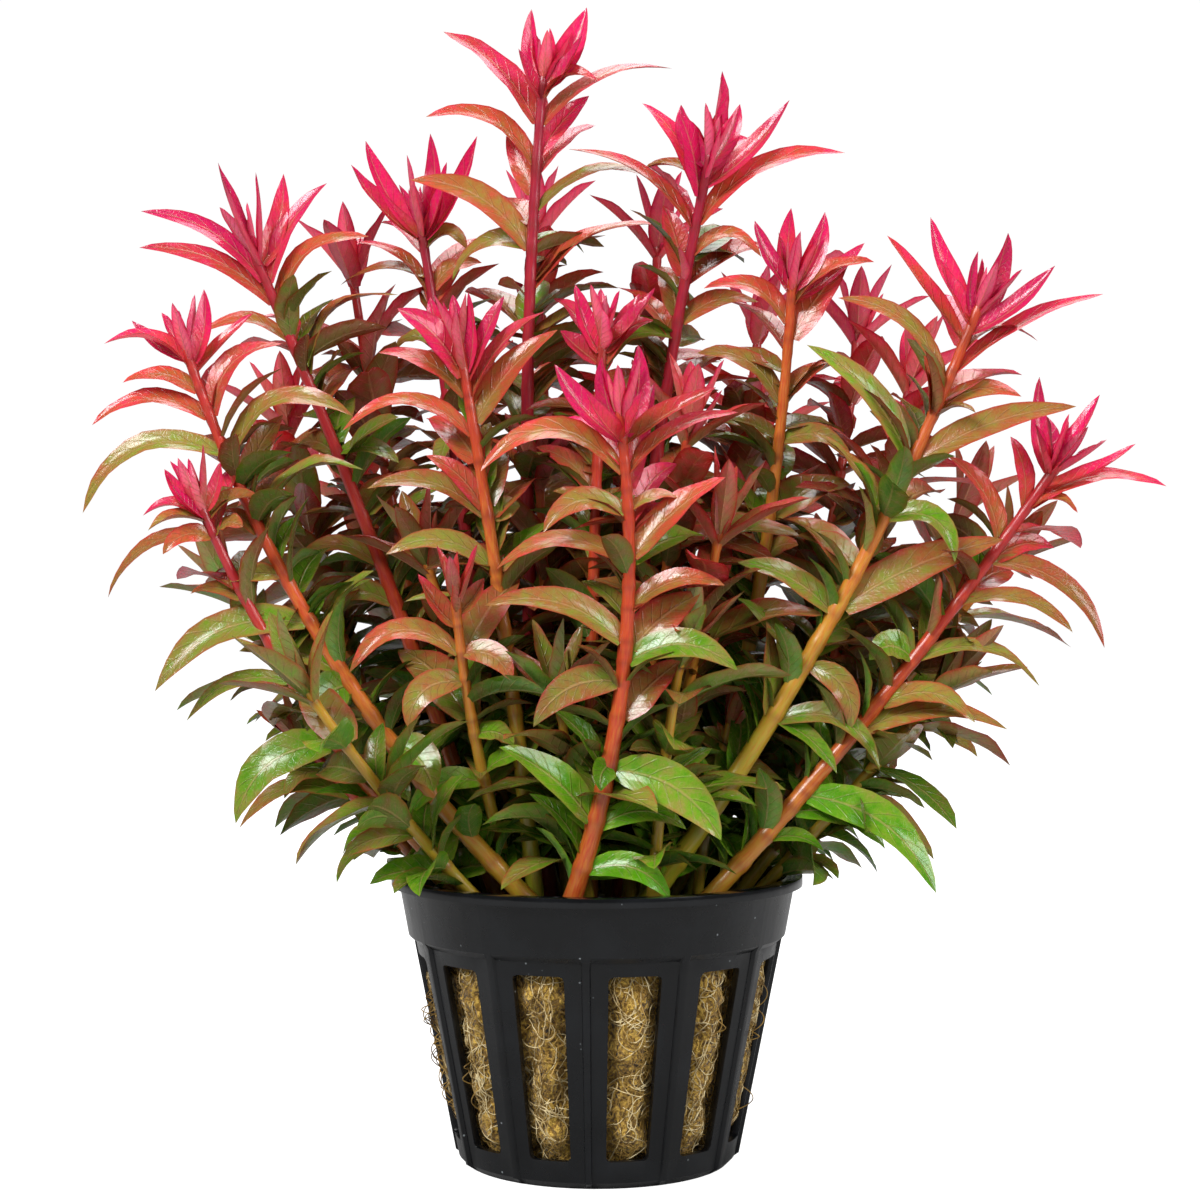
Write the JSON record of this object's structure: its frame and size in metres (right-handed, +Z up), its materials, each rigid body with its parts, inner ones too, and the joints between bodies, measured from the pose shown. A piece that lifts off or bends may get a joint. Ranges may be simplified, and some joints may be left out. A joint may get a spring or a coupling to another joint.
{
  "type": "potted rotala aquarium plant",
  "caption": "Bunch of leafy red-topped aquarium stems with opposite leaves, planted in a rock-wool plug in a slotted black net pot.",
  "frame": {"origin": "centre of the underside of the pot's base", "axes": "+Z up along the pot's axis, -Y towards the side that the picture shows, +X to its right"},
  "size_m": [0.1412, 0.099, 0.155],
  "materials": {
    "moulded_plastic": "semi-gloss moulded, near black with a blue cast",
    "rock_wool": "matte golden mineral fibre threaded with pale roots",
    "stem_and_leaf": "wet-looking living leaf, green low down, bronze in the middle and crimson pink at the crowns"
  },
  "bodies": {
    "root": {"net_pot": "moulded_plastic", "rockwool_plug": "rock_wool", "stem_01": "stem_and_leaf", "stem_02": "stem_and_leaf", "stem_03": "stem_and_leaf", "stem_04": "stem_and_leaf", "stem_05": "stem_and_leaf", "stem_06": "stem_and_leaf", "stem_07": "stem_and_leaf", "stem_08": "stem_and_leaf", "stem_09": "stem_and_leaf", "stem_10": "stem_and_leaf", "stem_11": "stem_and_leaf", "stem_12": "stem_and_leaf", "stem_13": "stem_and_leaf", "stem_14": "stem_and_leaf", "stem_15": "stem_and_leaf", "stem_16": "stem_and_leaf", "stem_17": "stem_and_leaf", "stem_18": "stem_and_leaf", "stem_19": "stem_and_leaf", "stem_20": "stem_and_leaf", "stem_21": "stem_and_leaf", "stem_22": "stem_and_leaf", "stem_23": "stem_and_leaf", "stem_24": "stem_and_leaf", "stem_25": "stem_and_leaf", "stem_26": "stem_and_leaf", "stem_27": "stem_and_leaf", "stem_28": "stem_and_leaf", "stem_29": "stem_and_leaf", "stem_30": "stem_and_leaf", "stem_31": "stem_and_leaf", "stem_32": "stem_and_leaf", "stem_33": "stem_and_leaf", "stem_34": "stem_and_leaf", "stem_35": "stem_and_leaf", "stem_36": "stem_and_leaf", "stem_37": "stem_and_leaf", "stem_38": "stem_and_leaf", "stem_39": "stem_and_leaf", "stem_40": "stem_and_leaf", "stem_41": "stem_and_leaf", "stem_42": "stem_and_leaf"}
  },
  "joints": []
}
